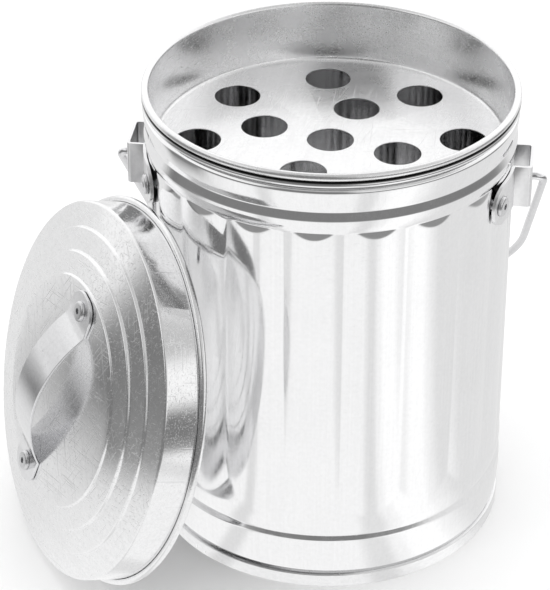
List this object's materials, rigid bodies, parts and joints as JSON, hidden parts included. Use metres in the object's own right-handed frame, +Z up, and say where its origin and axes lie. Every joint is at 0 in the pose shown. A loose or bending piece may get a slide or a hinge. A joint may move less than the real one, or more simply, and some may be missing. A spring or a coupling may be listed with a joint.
{
  "type": "desktop trash can",
  "caption": "Small galvanised trash can with a panelled body, riveted ears, a swinging bail, a perforated lift-out tray, and its stepped lid leaning against it.",
  "frame": {"origin": "centre of the body's foot, on the surface that the can stands on", "axes": "+Z up along the body's axis, +X through the right ear along the bail's axis, +Y to the rear, where the bail hangs"},
  "size_m": [0.2292, 0.2051, 0.197],
  "materials": {
    "body_zinc": "bright galvanised sheet",
    "pan_zinc": "bright galvanised sheet",
    "tray_zinc": "bright galvanised sheet, lightly scratched",
    "lid_zinc": "bright galvanised sheet, mottled",
    "ear_strap": "galvanised strip, satin",
    "handle_strap": "galvanised strip, satin",
    "bail_wire": "bright zinc-plated wire",
    "rivet_aluminium": "smooth aluminium",
    "mandrel_steel": "dull broken steel"
  },
  "bodies": {
    "can": {"body_wall": "body_zinc", "bottom_pan": "pan_zinc", "ear_right": "ear_strap", "ear_rivet_right_front": "rivet_aluminium", "ear_mandrel_right_front": "mandrel_steel", "ear_rivet_right_rear": "rivet_aluminium", "ear_mandrel_right_rear": "mandrel_steel", "ear_left": "ear_strap", "ear_rivet_left_front": "rivet_aluminium", "ear_mandrel_left_front": "mandrel_steel", "ear_rivet_left_rear": "rivet_aluminium", "ear_mandrel_left_rear": "mandrel_steel"},
    "bail": {"bail": "bail_wire"},
    "tray": {"tray": "tray_zinc"},
    "lid": {"lid_shell": "lid_zinc", "lid_handle": "handle_strap", "lid_rivet_upper": "rivet_aluminium", "lid_mandrel_upper": "mandrel_steel", "lid_rivet_lower": "rivet_aluminium", "lid_mandrel_lower": "mandrel_steel"}
  },
  "joints": [
    {"name": "bail_swing", "type": "hinge", "parent": "can", "child": "bail", "pos_m": [0, 0, 0.16], "axis": [1, 0, 0], "range_deg": [0, 230]},
    {"name": "tray_lift", "type": "slide", "parent": "can", "child": "tray", "axis": [0, 0, 1], "range_m": [0, 0.08]},
    {"name": "lid_lift", "type": "slide", "parent": "can", "child": "lid", "axis": [-0.7452, -0.4747, 0.4683], "range_m": [0, 0.06]}
  ]
}
